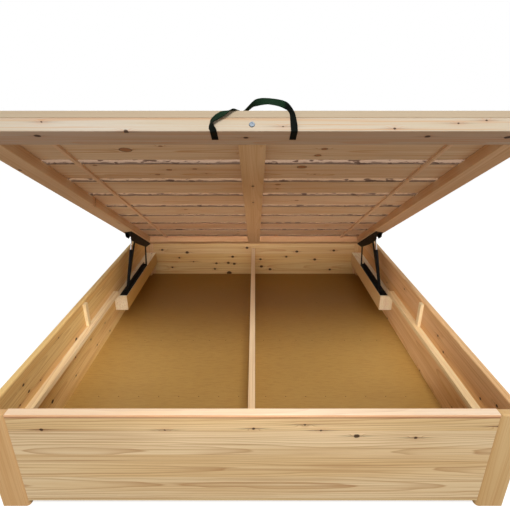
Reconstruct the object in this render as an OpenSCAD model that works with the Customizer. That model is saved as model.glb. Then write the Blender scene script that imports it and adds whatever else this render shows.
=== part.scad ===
// Storage bed of pine: a low box with two bays under a slatted lid, which two
// four-bar lifts with gas struts carry up and forward. It is drawn with the lid open.
// Millimetres, Z up, X across the bed, Y from foot to head, origin on the floor
// under the middle of the box.

/* [Box] */
// Width between the side boards
inner_w = 1820; // [1420:10:2020]
// Length between the foot board and the head board
inner_l = 2010; // [1910:10:2110]
// Height of the rim above the floor
rim_h = 440; // [420:5:500]
// Clear height under the boards
floor_gap = 30; // [20:5:50]
// Thickness of the foot board and the head board
end_t = 33; // [26:1:40]
// Thickness of the side boards
side_t = 30; // [24:1:36]
// Radius that eases the top edges of the boards
top_round = 8; // [4:1:11]
// Height of the moulded cap on the end boards
cap_h = 8; // [6:1:14]
// How far the cap stands proud of its board
cap_lip = 2; // [1:0.5:4]

/* [Corner posts] */
// How far a post stands proud of the side board
post_proud = 5; // [2:1:10]
// How far a post laps over the opening of the box
post_lap = 65; // [50:2.5:80]
// Radius of the post's edge beside the end board
post_round = 15; // [8:1:20]

/* [Ledges and timbers] */
// Depth from the rim to the ledge that carries the lid
ledge_drop = 147; // [130:1:160]
// Width of the ledge
ledge_w = 34.5; // [28:0.5:40]
// Height of the ledge
ledge_h = 25; // [20:1:34]
// Thickness of the block that centres the lid
guide_t = 16; // [10:0.5:16.5]
// Length of that block along the bed
guide_l = 30; // [20:5:60]
// Depth from the rim to the top of that block
guide_drop = 12; // [8:1:40]
// Distance from the foot board to that block
guide_y = 770; // [600:10:900]
// Width of the timber under each lift
timber_w = 82; // [80:1:90]
// Height of that timber
timber_h = 100; // [80:2:120]
// Length of that timber
timber_l = 805; // [790:5:860]
// Side of the square battens in the corners
batten = 38; // [30:1:45]

/* [Floor] */
// Thickness of the hardboard floor panels
panel_t = 4; // [3:0.5:6]
// Width of a cross bearer
bearer_w = 70; // [50:5:90]
// Thickness of a cross bearer
bearer_t = 27; // [20:1:32]
// Number of cross bearers
bearer_n = 5; // [4:1:7]
// Thickness of the divider
divider_t = 28; // [20:1:34]
// How far the divider stands off the middle
divider_off = -5; // [-20:1:20]
// Side of the square feet under the bearers
foot_side = 60; // [40:5:80]

/* [Lid] */
// Angle of the open lid
lid_angle = 29.1; // [27:0.1:30]
// How far forward the lid's rear edge lies when open
lid_forward = 136; // [128:1:142]
// How far the lid's rear edge rises when open
lid_rise = 92.5; // [88:0.5:96]
// Gap between the lid and each side board
lid_side_gap = 17.5; // [17:0.5:20]
// Gap between the closed lid and the foot board
lid_front_gap = 20; // [20:1:26]
// Gap between the closed lid and the head board
lid_rear_gap = 10; // [9:1:16]
// Gap under the closed lid, taken up by its weight
lid_seat_gap = 0.5; // [0.3:0.1:1]
// Thickness of the lid's frame
frame_t = 43; // [36:1:50]
// Width of the lid's front rail
front_rail_w = 96; // [86:1:110]
// Width of the lid's side rails
side_rail_w = 88; // [80:1:100]
// Width of the lid's centre rail
centre_rail_w = 90; // [70:1:110]
// Width of the lid's rear rail
rear_rail_w = 90; // [70:1:94]
// Radius that eases the timber edges
ease = 3; // [1:0.5:5]
// Thickness of the slats
slat_t = 22; // [16:1:28]
// Width of the slats between the ends
slat_w = 172.5; // [150:2.5:180]
// Width of the slat at each end
end_slat_w = 119; // [100:1:130]
// How far the sawn edge of a slat wanders
slat_wave = 3; // [0:0.5:5]
// Length of the screws that hold the slats
slat_screw_l = 45; // [36:1:55]
// Width of the battens that tie the slats
stringer_w = 16; // [12:1:30]
// Thickness of those battens
stringer_t = 10; // [8:1:16]
// Distance of those battens from the middle
stringer_x = 675; // [450:5:700]

/* [Lift] */
// Distance of the rear pivot from the head board
rear_pivot = 310; // [300:1:315]
// Distance of the front pivot from the head board
front_pivot = 700; // [685:1:705]
// Distance of the strut's foot from the head board
strut_foot = 755; // [745:1:760]
// Distance along the lid from its rear edge to the strut's head
strut_head = 440; // [430:1:450]
// Height of the gap between the timber and the closed lid
fold_h = 38; // [38:0.5:42]
// Thickness of the bracket plates
plate_t = 3; // [2:0.5:3]
// Height of the lower brackets' webs
low_web_h = 28; // [27:0.5:31]
// Height of the upper brackets' webs
up_web_h = 60; // [44:1:64]
// Height of the upper brackets' outer lips
lip_h = 28; // [16:1:30]
// Thickness of the links
link_t = 5; // [4:0.5:5]
// Width of the links
link_w = 22; // [18:1:22]
// Radius of the pivot pins
pin_r = 5; // [4:0.25:5.5]
// Radius of the pivot pins' heads
pin_head_r = 7.5; // [7:0.25:8]
// Thickness of the pivot pins' heads
pin_head_t = 1.2; // [0.8:0.1:1.3]
// Radius of the strut's cylinder
tube_r = 10; // [9:0.5:11]
// Wall of the strut's cylinder
tube_wall = 1.5; // [1:0.25:2]
// Length from the strut's foot to the mouth of its cylinder
tube_l = 275; // [265:1:278]
// Radius of the strut's rod
rod_r = 5; // [4:0.5:5.5]
// Radius of the studs that hold the strut
stud_r = 4; // [3:0.25:5]
// Length of the screws that hold the brackets
screw_l = 26; // [20:1:34]
// Radius of the eyes at the strut's ends
eye_r = 9; // [8:0.5:10]
// Thickness of those eyes
eye_t = 8; // [6:0.5:9]

/* [Strap and bolt] */
// Width of the pull strap
strap_w = 20; // [16:1:26]
// Thickness of the pull strap
strap_t = 1.6; // [1.2:0.1:2]
// Radius of the bolt's head in the lid's front rail
bolt_head_r = 9; // [7:0.5:11]
// Radius of that bolt's shank
bolt_r = 4; // [3:0.25:5]

/* [Hidden] */

$fn = 48;
left = -1;
right = 1;

pine = "burlywood";
pine_light = "navajowhite";
hardboard = "peru";
black_steel = "dimgray";
bright_steel = "silver";

// Clearances
shaft_play = 0.05;  // radial, a pin in its hole
fit_play = 0.3;     // pieces that meet without touching
cut = 1;            // how far a cutting shape passes its face

// Places in the box: X from the middle, Y from the middle, Z from the floor
side_in = inner_w / 2;
front_in = -inner_l / 2;
rear_in = inner_l / 2;
post_in = side_in - post_lap;
post_out = side_in + side_t + post_proud;
ledge_z = rim_h - ledge_drop;
timber_z = ledge_z - fold_h;
panel_z = floor_gap + bearer_t;
floor_z = panel_z + panel_t;
timber_in = side_in - timber_w;
divider_in = divider_off - divider_t / 2;
divider_out = divider_off + divider_t / 2;

// Places in the lid, whose own frame has its origin in the middle of the bottom
// rear edge, Y towards the head and Z square to the lid
lid_w = inner_w - 2 * lid_side_gap;
lid_l = inner_l - lid_front_gap - lid_rear_gap;
lid_closed = [rear_in - lid_rear_gap, ledge_z + lid_seat_gap];
lid_open = [lid_closed[0] - lid_forward, lid_closed[1] + lid_rise];
slat_n = 10;
slat_gap = (lid_l - 2 * end_slat_w - (slat_n - 2) * slat_w) / (slat_n - 1);

// Screws of the brackets and of the slats
screw_r = 2.5;
screw_hole_r = screw_r + 0.1;
screw_head_r = 4.5;
screw_head_t = 2.2;
screw_end = 20;       // from the end of a bracket
centre_screw = 24;    // from the middle of the lid

// The lift's planes across the bed, from the middle outwards
web_set = 8;          // from the upper web to the timber's inner face
link_gap = 2;         // between a web and a link
strut_gap = 1;        // between the upper web and the strut
tube_gap = 2;         // between the strut and the front link
flange_set = 2;       // from the timber's inner face to the lower flange
screw_gap = 5;        // between a pin's head and a screw's head
lip_gap = 3;          // between a screw's head and the upper lip
web_in = timber_in - web_set;
web_out = web_in + plate_t;
rear_link_in = web_out + link_gap;
strut_x = web_out + strut_gap + tube_r;
front_link_in = strut_x + tube_r + tube_gap;
low_web_in = front_link_in + link_t + link_gap;
low_web_out = low_web_in + plate_t;
flange_in = timber_in + flange_set;
screw_x = low_web_out + pin_head_t + screw_gap + screw_head_r;
lip_in = screw_x + screw_head_r + lip_gap;
flange_out = lip_in + plate_t;

// The lift's pivots, as [y, z]
pivot_h = 19;         // above the timber
pivot_drop = 20;      // below the lid
strut_drop = 19.5;    // strut's head below the lid
rear_low = [rear_in - rear_pivot, timber_z + pivot_h];
front_low = [rear_in - front_pivot, timber_z + pivot_h];
strut_low = [rear_in - strut_foot, timber_z + pivot_h];

function dot2(a, b) = a[0] * b[0] + a[1] * b[1];
function on_lid(origin, tilt, s, drop) =
  origin + s * [-cos(tilt), sin(tilt)] - drop * [sin(tilt), cos(tilt)];
// Distance along the lid of the point that lies as far from a pivot with the lid
// open as with the lid closed, which makes one rigid link reach it in both places
function link_reach(pivot) =
  let(a = on_lid(lid_open, lid_angle, 0, pivot_drop) - pivot,
      b = on_lid(lid_closed, 0, 0, pivot_drop) - pivot,
      along_a = [-cos(lid_angle), sin(lid_angle)],
      along_b = [-1, 0])
  (dot2(b, b) - dot2(a, a)) / (2 * (dot2(a, along_a) - dot2(b, along_b)));

rear_reach = link_reach(rear_low);
front_reach = link_reach(front_low);
rear_high = on_lid(lid_open, lid_angle, rear_reach, pivot_drop);
front_high = on_lid(lid_open, lid_angle, front_reach, pivot_drop);
strut_high = on_lid(lid_open, lid_angle, strut_head, strut_drop);
strut_open = norm(strut_high - strut_low);
strut_closed = norm(on_lid(lid_closed, 0, strut_head, strut_drop) - strut_low);

// The brackets, which run past their outermost pivots
low_end = 36;
up_front_end = 60;
up_rear_end = 110;
lip_set = 35;         // from the web's front end to the lip's
lip_reach = 90;       // from the strut's head to the lip's rear end
low_front = strut_low[0] - low_end;
low_rear = rear_low[0] + low_end;
up_rear = rear_reach - up_rear_end;
up_front = strut_head + up_front_end;
lip_front = up_front - lip_set;
lip_rear = strut_head - lip_reach;
low_screws = [low_front + screw_end, (low_front + low_rear) / 2, low_rear - screw_end];
up_screw_first = max(up_rear, rear_rail_w) + screw_end;
up_screw_last = lip_front - screw_end;
up_screws = [up_screw_first, (up_screw_first + up_screw_last) / 2, up_screw_last];

// ---- helpers ----

// Draws its children on one side of the bed
module on_side(side) {
  if (side == left) mirror([1, 0, 0]) children();
  else children();
}

// Puts its children in the frame of the open lid
module in_lid() {
  translate([0, lid_open[0], lid_open[1]]) rotate([-lid_angle, 0, 0]) children();
}

// Rectangle whose upper corners are round
module eased_top(w, h, r) {
  square([w, h - r]);
  translate([r, 0]) square([w - 2 * r, h]);
  for (x = [r, w - r]) translate([x, h - r]) circle(r);
}

// Rectangle whose four corners are round
module eased(w, h, r) {
  translate([0, r]) square([w, h - 2 * r]);
  translate([r, 0]) square([w - 2 * r, h]);
  for (x = [r, w - r], y = [r, h - r]) translate([x, y]) circle(r);
}

// Extrudes an outline drawn in Y and Z along X, from x0 to x1
module across(x0, x1) {
  translate([x0, 0, 0]) rotate([90, 0, 90]) linear_extrude(x1 - x0) children();
}

// Extrudes an outline drawn in X and Z along Y, from y0 to y1
module along(y0, y1) {
  translate([0, y1, 0]) rotate([90, 0, 0]) linear_extrude(y1 - y0) children();
}

// Round bar along X through [y, z]
module bar_x(at, x0, x1, r) {
  translate([x0, at[0], at[1]]) rotate([0, 90, 0]) cylinder(h = x1 - x0, r = r);
}

// Block between two corners
module block(low, high) {
  translate(low) cube(high - low);
}

// ---- box ----

module end_board() {
  block([-post_in, -end_t, floor_gap], [post_in, 0, rim_h - cap_h]);
}

// Cap of an end board, whose lip stands proud of the outer face
module end_cap() {
  translate([0, 0, rim_h - cap_h]) across(-post_in, post_in)
    translate([-end_t - cap_lip, 0])
      eased_top(end_t + cap_lip, cap_h, min(top_round, cap_h / 2));
}

module at_front() {
  translate([0, front_in, 0]) children();
}

module at_rear() {
  translate([0, rear_in, 0]) rotate([0, 0, 180]) children();
}

module side_board(side) {
  color(pine) on_side(side) translate([side_in, 0, floor_gap])
    along(front_in, rear_in) eased_top(side_t, rim_h - floor_gap, top_round);
}

// Leg that closes a corner, with a round edge beside the end board and an eased top
module post(side) {
  width = post_out - post_in;
  color(pine_light) on_side(side) intersection() {
    translate([post_in, -end_t, 0]) linear_extrude(rim_h) union() {
      translate([post_round, 0]) square([width - post_round, end_t]);
      translate([0, post_round]) square([width, end_t - post_round]);
      translate([post_round, post_round]) circle(post_round);
    }
    across(post_in, post_out) translate([-end_t, 0]) eased_top(end_t, rim_h, top_round);
    translate([post_in - top_round, 0, 0])
      along(-end_t, 0) eased_top(width + top_round, rim_h, top_round);
  }
}

// Ledge that carries the closed lid, from the foot board to the timber
module ledge(side) {
  color(pine_light) on_side(side) translate([side_in - ledge_w, 0, ledge_z - ledge_h])
    along(front_in, rear_in - timber_l) eased(ledge_w, ledge_h, ease / 2);
}

module guide_block(side) {
  color(pine) on_side(side) translate([side_in - guide_t, front_in + guide_y, ledge_z])
    linear_extrude(ledge_drop - guide_drop) eased(guide_t, guide_l, ease / 2);
}

module mount_timber(side) {
  color(pine_light) on_side(side) difference() {
    translate([timber_in, 0, timber_z - timber_h])
      along(rear_in - timber_l, rear_in) eased(timber_w, timber_h, ease);
    lower_screw_holes();
  }
}

// Upright battens that tie the corners together; those at the head carry the timbers
module corner_battens() {
  color(pine) for (side = [left, right]) on_side(side) {
    block([side_in - batten, front_in, floor_z], [side_in, front_in + batten, ledge_z - ledge_h]);
    block([side_in - batten, rear_in - batten, floor_z], [side_in, rear_in, timber_z - timber_h]);
  }
}

module centre_divider() {
  color(pine_light) block([divider_in, front_in, panel_z], [divider_out, rear_in, ledge_z]);
}

module floor_panel(side) {
  x0 = side == left ? -side_in : divider_out;
  x1 = side == left ? divider_in : side_in;
  color(hardboard) block([x0, front_in, panel_z], [x1, rear_in, floor_z]);
}

function bearer_y(i) = front_in + bearer_w / 2 + i * (inner_l - bearer_w) / (bearer_n - 1);

module floor_bearers() {
  color(pine) for (i = [0 : bearer_n - 1])
    translate([0, bearer_y(i) - bearer_w / 2, floor_gap])
      across(-side_in, side_in) eased(bearer_w, bearer_t, ease);
}

// Feet that carry the bearers, and so the divider, in the middle of the bed
module centre_feet() {
  color(pine) for (i = [0 : bearer_n - 1])
    translate([divider_off - foot_side / 2, bearer_y(i) - foot_side / 2, 0])
      linear_extrude(floor_gap) eased(foot_side, foot_side, ease);
}

// ---- lift: pieces fixed to the box ----

module lower_screw_holes() {
  for (y = low_screws)
    translate([screw_x, y, timber_z - screw_l]) cylinder(h = screw_l + plate_t + cut, r = screw_hole_r);
}

// Plate on the timber with a web that carries the lower pivots
module lower_bracket(side) {
  slope = low_web_h - plate_t;
  color(black_steel) on_side(side) difference() {
    union() {
      block([flange_in, low_front, timber_z], [flange_out, low_rear, timber_z + plate_t]);
      across(low_web_in, low_web_out) translate([0, timber_z]) polygon([
        [low_front, 0], [low_rear, 0],
        [low_rear, plate_t + slope / 3], [low_rear - slope / 2, low_web_h],
        [low_front + slope, low_web_h], [low_front, plate_t + slope / 3]
      ]);
    }
    for (at = [rear_low, front_low])
      bar_x(at, low_web_in - cut, low_web_out + cut, pin_r + shaft_play);
    bar_x(strut_low, low_web_in - cut, low_web_out + cut, stud_r + shaft_play);
    lower_screw_holes();
  }
}

// Pin with a head at each end; it passes a link and the web beside it
module pivot_pin(at, x0, x1) {
  bar_x(at, x0, x1, pin_r);
  bar_x(at, x0, x0 + pin_head_t, pin_head_r);
  bar_x(at, x1 - pin_head_t, x1, pin_head_r);
}

stud_flange = 2;
eye_in = strut_x - eye_t / 2;
eye_out = strut_x + eye_t / 2;
collar_r = pin_r + stud_flange;

// Stud of the strut's foot, with a shoulder, and a head that keeps the eye on it
module strut_stud() {
  bar_x(strut_low, eye_in - fit_play - pin_head_t, low_web_out + pin_head_t, stud_r);
  bar_x(strut_low, eye_in - fit_play - pin_head_t, eye_in - fit_play, stud_r + stud_flange);
  bar_x(strut_low, eye_out + fit_play, low_web_in, stud_r + stud_flange);
  bar_x(strut_low, low_web_out, low_web_out + pin_head_t, stud_r + stud_flange);
}

// The rear pins have a collar that spaces the link off the web
module lower_pins() {
  color(bright_steel) for (side = [left, right]) on_side(side) {
    pivot_pin(rear_low, rear_link_in - fit_play - pin_head_t, low_web_out + pin_head_t);
    bar_x(rear_low, rear_link_in + link_t + fit_play, low_web_in, collar_r);
    pivot_pin(front_low, front_link_in - fit_play - pin_head_t, low_web_out + pin_head_t);
    strut_stud();
  }
}

// Screw with a round socket head, whose seat is at the origin
module screw(l) {
  translate([0, 0, -l]) cylinder(h = l, r = screw_r);
  difference() {
    cylinder(h = screw_head_t, r = screw_head_r);
    translate([0, 0, screw_head_t / 2]) cylinder(h = screw_head_t, r = screw_head_r / 2, $fn = 6);
  }
}

module lower_screws() {
  color(bright_steel) for (side = [left, right]) on_side(side)
    for (y = low_screws)
      translate([screw_x, y, timber_z + plate_t]) screw(screw_l + plate_t - cut);
}

// ---- lift: moving pieces ----

// Puts its children at a pivot, with Y along the line to another point
module toward(from, to) {
  turn = atan2(to[1] - from[1], to[0] - from[0]);
  translate([0, from[0], from[1]]) rotate([turn, 0, 0]) children();
}

// Flat bar with round ends between two pivots
module link_bar(from, to, x) {
  reach = norm(to - from);
  toward(from, to) across(x, x + link_t) union() {
    translate([0, -link_w / 2]) square([reach, link_w]);
    for (y = [0, reach]) translate([y, 0]) circle(link_w / 2);
  }
}

module link_hole(at, x) {
  bar_x(at, x - cut, x + link_t + cut, pin_r + shaft_play);
}

module rear_link(side) {
  color(black_steel) on_side(side) difference() {
    link_bar(rear_low, rear_high, rear_link_in);
    link_hole(rear_low, rear_link_in);
    link_hole(rear_high, rear_link_in);
  }
}

// The front link ends in the tail of its own rivet at the lid
module front_link(side) {
  color(black_steel) on_side(side) difference() {
    union() {
      link_bar(front_low, front_high, front_link_in);
      bar_x(front_high, front_link_in, front_link_in + link_t + pin_head_t, pin_head_r);
    }
    link_hole(front_low, front_link_in);
  }
}

// Puts its children in one strut's own frame, with Z from its foot to its head
module in_strut(side) {
  on_side(side) translate([strut_x, 0, 0]) toward(strut_low, strut_high)
    rotate([-90, 0, 0]) children();
}

// Eye that the struts end in, across their axis
module eye(bore) {
  rotate([0, 90, 0]) difference() {
    translate([0, 0, -eye_t / 2]) cylinder(h = eye_t, r = eye_r);
    if (bore > 0) translate([0, 0, -eye_t / 2 - cut]) cylinder(h = eye_t + 2 * cut, r = bore);
  }
}

neck_r = 5;
neck_start = eye_r - 1;
shoulder = 26;            // from the foot to the cylinder's full width
crimp_l = 6;
crimp_r = 4;
tube_floor = 4;
bore_r = tube_r - tube_wall;
gland_l = 18;
gland_lip = 2;
gland_edge = 1;
piston_l = 12;
rebound = 6;              // left between the piston and the gland when open
piston_end = tube_l - gland_l - rebound;

// Body of the strut: a tube with a closed end, a neck and an eye for the stud
module strut_cylinder(side) {
  color(black_steel) in_strut(side) union() {
    eye(stud_r + shaft_play);
    translate([0, 0, neck_start]) cylinder(h = shoulder - neck_start, r = neck_r);
    rotate_extrude() polygon([
      [0, shoulder - crimp_l], [tube_r - crimp_r, shoulder - crimp_l], [tube_r, shoulder],
      [tube_r, tube_l], [bore_r, tube_l], [bore_r, shoulder + tube_floor],
      [0, shoulder + tube_floor]
    ]);
  }
}

// Guide that closes the cylinder's mouth round the rod
module strut_gland(side) {
  color(black_steel) in_strut(side) rotate_extrude() polygon([
    [rod_r + shaft_play, tube_l - gland_l], [bore_r - shaft_play, tube_l - gland_l],
    [bore_r - shaft_play, tube_l], [tube_r - gland_edge, tube_l],
    [tube_r - gland_edge - gland_lip, tube_l + gland_lip], [rod_r + shaft_play, tube_l + gland_lip]
  ]);
}

// Rod with its piston inside the cylinder, and a blind eye at the lid
module strut_rod(side) {
  color(bright_steel) in_strut(side) union() {
    translate([0, 0, piston_end - piston_l])
      cylinder(h = strut_open - neck_start - piston_end + piston_l, r = rod_r);
    translate([0, 0, piston_end - piston_l]) cylinder(h = piston_l, r = bore_r - shaft_play);
    translate([0, 0, strut_open]) eye(0);
    translate([eye_t / 2, 0, strut_open])
      rotate([0, 90, 0]) cylinder(h = pin_head_t, r = stud_r + stud_flange);
  }
}

// ---- lid, drawn in its own frame ----

module upper_screw_holes() {
  for (s = up_screws)
    translate([screw_x, -s, -plate_t - cut]) cylinder(h = screw_l + plate_t + cut, r = screw_hole_r);
}

// Channel under the lid: a flange, a deep web that carries the upper pivots and an
// outer lip beside the strut's head
module upper_bracket(side) {
  web_rear_h = up_web_h / 8;
  web_pin_h = up_web_h * 0.8;
  web_cut = up_web_h / 6;
  color(black_steel) in_lid() on_side(side) difference() {
    union() {
      translate([0, 0, -plate_t]) linear_extrude(plate_t) polygon([
        [web_in, -up_front], [web_out, -up_front], [flange_out, -lip_front],
        [flange_out, -up_rear], [web_in, -up_rear]
      ]);
      across(web_in, web_out) polygon([
        [-up_front, 0], [-up_rear, 0], [-up_rear, -web_rear_h], [-rear_reach, -web_pin_h],
        [-front_reach, -up_web_h], [-up_front + web_cut, -up_web_h],
        [-up_front, -up_web_h + web_cut]
      ]);
      across(lip_in, flange_out) polygon([
        [-lip_front, 0], [-lip_rear, 0], [-lip_rear - lip_h, -lip_h],
        [-lip_front + lip_h, -lip_h]
      ]);
    }
    for (s = [rear_reach, front_reach])
      bar_x([-s, -pivot_drop], web_in - cut, web_out + cut, pin_r + shaft_play);
    bar_x([-strut_head, -strut_drop], web_in - cut, web_out + cut, stud_r + shaft_play);
    upper_screw_holes();
  }
}

// The rear pins carry the links; the front rivets, with their collars, and the studs
// end just short of the front links and of the struts
module upper_pins() {
  rear_at = [-rear_reach, -pivot_drop];
  front_at = [-front_reach, -pivot_drop];
  stud_at = [-strut_head, -strut_drop];
  head_in = web_in - pin_head_t;
  color(bright_steel) in_lid() for (side = [left, right]) on_side(side) {
    pivot_pin(rear_at, head_in, rear_link_in + link_t + fit_play + pin_head_t);
    bar_x(front_at, head_in, front_link_in - fit_play, pin_r);
    bar_x(front_at, head_in, web_in, pin_head_r);
    bar_x(front_at, web_out, front_link_in - fit_play, collar_r);
    bar_x(stud_at, head_in, eye_in - fit_play, stud_r);
    bar_x(stud_at, head_in, web_in, stud_r + stud_flange);
  }
}

module upper_screws() {
  color(bright_steel) in_lid() for (side = [left, right]) on_side(side)
    for (s = up_screws)
      translate([screw_x, -s, -plate_t]) mirror([0, 0, 1]) screw(screw_l + plate_t - cut);
}

bolt_z = frame_t / 2;
bolt_bite = 60;       // into the centre rail
bolt_l = front_rail_w + bolt_bite;

module bolt_hole() {
  translate([0, -lid_l - cut, bolt_z]) rotate([-90, 0, 0])
    cylinder(h = bolt_l + 2 * cut, r = bolt_r + fit_play);
}

function slat_start(i) = i == 0 ? 0 : end_slat_w + slat_gap + (i - 1) * (slat_w + slat_gap);
function slat_width(i) = (i == 0 || i == slat_n - 1) ? end_slat_w : slat_w;
function slat_middle(i) = -lid_l + slat_start(i) + slat_width(i) / 2;

slat_screw_r = 2.2;
slat_head_r = 4.4;
slat_head_t = 2.4;
slat_head_sink = 0.3;
edge_screw = lid_w / 2 - side_rail_w / 2;

// Puts its children at each screw of slat i, on the slat's upper face
module at_slat_screws(i) {
  for (x = [-edge_screw, -centre_screw, centre_screw, edge_screw])
    translate([x, slat_middle(i), frame_t + slat_t - slat_head_sink]) children();
}

// Screw with a sunk head; play widens it to the hole that it needs
module slat_screw(play) {
  rotate_extrude() polygon([
    [0, play > 0 ? slat_head_sink + cut : 0], [slat_head_r + play, play > 0 ? slat_head_sink + cut : 0],
    [slat_head_r + play, 0], [slat_screw_r + play, -slat_head_t], [slat_screw_r + play, -slat_screw_l],
    [0, -slat_screw_l - play]
  ]);
}

module slat_screws() {
  color(bright_steel) in_lid() for (i = [0 : slat_n - 1]) at_slat_screws(i) slat_screw(0);
}

module slat_screw_holes(first, last) {
  for (i = [first : last]) at_slat_screws(i) slat_screw(shaft_play);
}

module lid_front_rail() {
  color(pine_light) in_lid() difference() {
    across(-lid_w / 2, lid_w / 2) translate([-lid_l, 0]) eased(front_rail_w, frame_t, ease);
    bolt_hole();
    slat_screw_holes(0, 0);
  }
}

module lid_rear_rail() {
  color(pine) in_lid() difference() {
    across(-lid_w / 2, lid_w / 2) translate([-rear_rail_w, 0]) eased(rear_rail_w, frame_t, ease);
    slat_screw_holes(slat_n - 1, slat_n - 1);
  }
}

module lid_side_rail(side) {
  color(pine) in_lid() difference() {
    on_side(side) translate([lid_w / 2 - side_rail_w, 0, 0])
      along(-lid_l + front_rail_w, -rear_rail_w) eased(side_rail_w, frame_t, ease);
    on_side(side) upper_screw_holes();
    slat_screw_holes(1, slat_n - 2);
  }
}

module lid_centre_rail() {
  color(pine) in_lid() difference() {
    translate([-centre_rail_w / 2, 0, 0])
      along(-lid_l + front_rail_w, -rear_rail_w) eased(centre_rail_w, frame_t, ease);
    bolt_hole();
    slat_screw_holes(1, slat_n - 2);
  }
}

// Thin battens that tie the slats together, between the front rail and the rear rail
module stringers() {
  color(pine_light) in_lid() for (side = [left, right]) on_side(side)
    translate([stringer_x - stringer_w / 2, 0, frame_t - stringer_t])
      along(-lid_l + front_rail_w, -rear_rail_w) square([stringer_w, stringer_t]);
}

// Sawn edge with the tree's own outline: a long wave and a short one, out of step
long_wave = 310;
short_wave = 137;
long_share = 0.6;
edge_step = 67;       // degrees that the waves shift from slat to slat
function edge_wave(x, i) = slat_wave * (
  long_share * sin(360 * x / long_wave + edge_step * i)
  + (1 - long_share) * sin(360 * x / short_wave + 2 * edge_step * i) - 1);

module slat(i) {
  steps = 60;
  y0 = -lid_l + slat_start(i);
  y1 = y0 + slat_width(i);
  low_wave = i == 0 ? 0 : 1;
  high_wave = i == slat_n - 1 ? 0 : 1;
  xs = [for (k = [0 : steps]) -lid_w / 2 + k * lid_w / steps];
  color(pine) in_lid() difference() {
    translate([0, 0, frame_t]) linear_extrude(slat_t) polygon(concat(
      [for (x = xs) [x, y0 - low_wave * edge_wave(x, i)]],
      [for (k = [steps : -1 : 0]) [xs[k], y1 + high_wave * edge_wave(xs[k], i + slat_n)]]
    ));
    slat_screw_holes(i, i);
  }
}

module lid_bolt() {
  head_t = 4;
  head_slope = 1.5;
  color(bright_steel) in_lid() translate([0, -lid_l, bolt_z]) rotate([-90, 0, 0]) {
    cylinder(h = bolt_l, r = bolt_r);
    difference() {
      translate([0, 0, -head_t]) cylinder(h = head_t, r1 = bolt_head_r - head_slope, r2 = bolt_head_r);
      translate([0, 0, -head_t - cut]) cylinder(h = head_t / 2 + cut, r = bolt_head_r / 2, $fn = 6);
    }
  }
}

// Route of the pull strap: [across, out from the front face, up from the lid's
// bottom], then the direction across the webbing
strap_in = 54;
strap_route = [
  [[-114, -strap_in, -1.2], [1, 0, 0]],
  [[-114, -30, -1.2], [1, 0, 0]],
  [[-114, -8, -1.3], [1, 0, 0]],
  [[-114, 2, -1], [1, 0, 0]],
  [[-114, 4, 6], [1, 0, 0]],
  [[-116, 6, 16], [1, 0, -0.1]],
  [[-113, 7, 30], [1, 0.1, -0.4]],
  [[-102, 8, 43], [1, 0.2, -0.8]],
  [[-88, 9, 56], [0.7, 0.4, -0.8]],
  [[-74, 9, 68], [0.4, 0.9, -0.6]],
  [[-58, 5, 75], [0.3, 1, -0.2]],
  [[-42, -6, 75], [0, 1, 0.1]],
  [[-26, -13, 77], [0, 1, 0.3]],
  [[-12, -10, 84], [0, 0.8, 0.8]],
  [[4, -4, 97], [0, 0.3, 1]],
  [[24, 0, 108], [0, 0, 1]],
  [[48, 2, 112], [0, 0, 1]],
  [[74, 4, 109], [0.1, 0, 1]],
  [[96, 7, 98], [0.6, 0.2, 1]],
  [[110, 10, 80], [1, 0.5, 0.5]],
  [[118, 9, 60], [1, 0.1, 0.1]],
  [[122, 6, 38], [1, 0, 0]],
  [[123, 4, 16], [1, 0, 0]],
  [[123, 3.5, 5], [1, 0, 0]],
  [[123, 2, -1], [1, 0, 0]],
  [[123, -8, -1.3], [1, 0, 0]],
  [[123, -30, -1.2], [1, 0, 0]],
  [[123, -strap_in, -1.2], [1, 0, 0]]
];

function unit(v) = v / norm(v);
// Four corners of the webbing's section at one point of the route
function strap_ring(i) =
  let(n = len(strap_route) - 1,
      at = strap_route[i][0],
      ahead = unit(strap_route[min(i + 1, n)][0] - strap_route[max(i - 1, 0)][0]),
      wish = strap_route[i][1],
      wide = unit(wish - (wish * ahead) * ahead) * strap_w / 2,
      thick = unit(cross(ahead, wide)) * strap_t / 2)
  [at - wide - thick, at + wide - thick, at + wide + thick, at - wide + thick];

module pull_strap() {
  rings = len(strap_route);
  points = [for (i = [0 : rings - 1]) each strap_ring(i)];
  walls = [for (i = [0 : rings - 2], k = [0 : 3])
    let(a = 4 * i + k, b = 4 * i + (k + 1) % 4)
    each [[a, b, b + 4], [a, b + 4, a + 4]]];
  first = [[0, 3, 2], [0, 2, 1]];
  last = [for (f = [[0, 1, 2], [0, 2, 3]]) [for (k = f) 4 * (rings - 1) + k]];
  color("darkgreen") in_lid() translate([0, -lid_l, 0]) mirror([0, 1, 0])
    polyhedron(points, concat(walls, first, last));
}

// Small plates that hold the strap's ends under the front rail
module strap_plates() {
  plate = [14, 8, 1];
  plate_end = 4;      // from the end of the strap
  first = strap_route[0][0];
  last = strap_route[len(strap_route) - 1][0];
  color(bright_steel) in_lid() for (end = [first, last])
    translate([end[0], -lid_l - end[1] - plate_end - plate[1] / 2, end[2] - strap_t / 2 - plate[2]])
      cube(plate, center = true);
}

// ---- what is drawn ----

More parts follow.
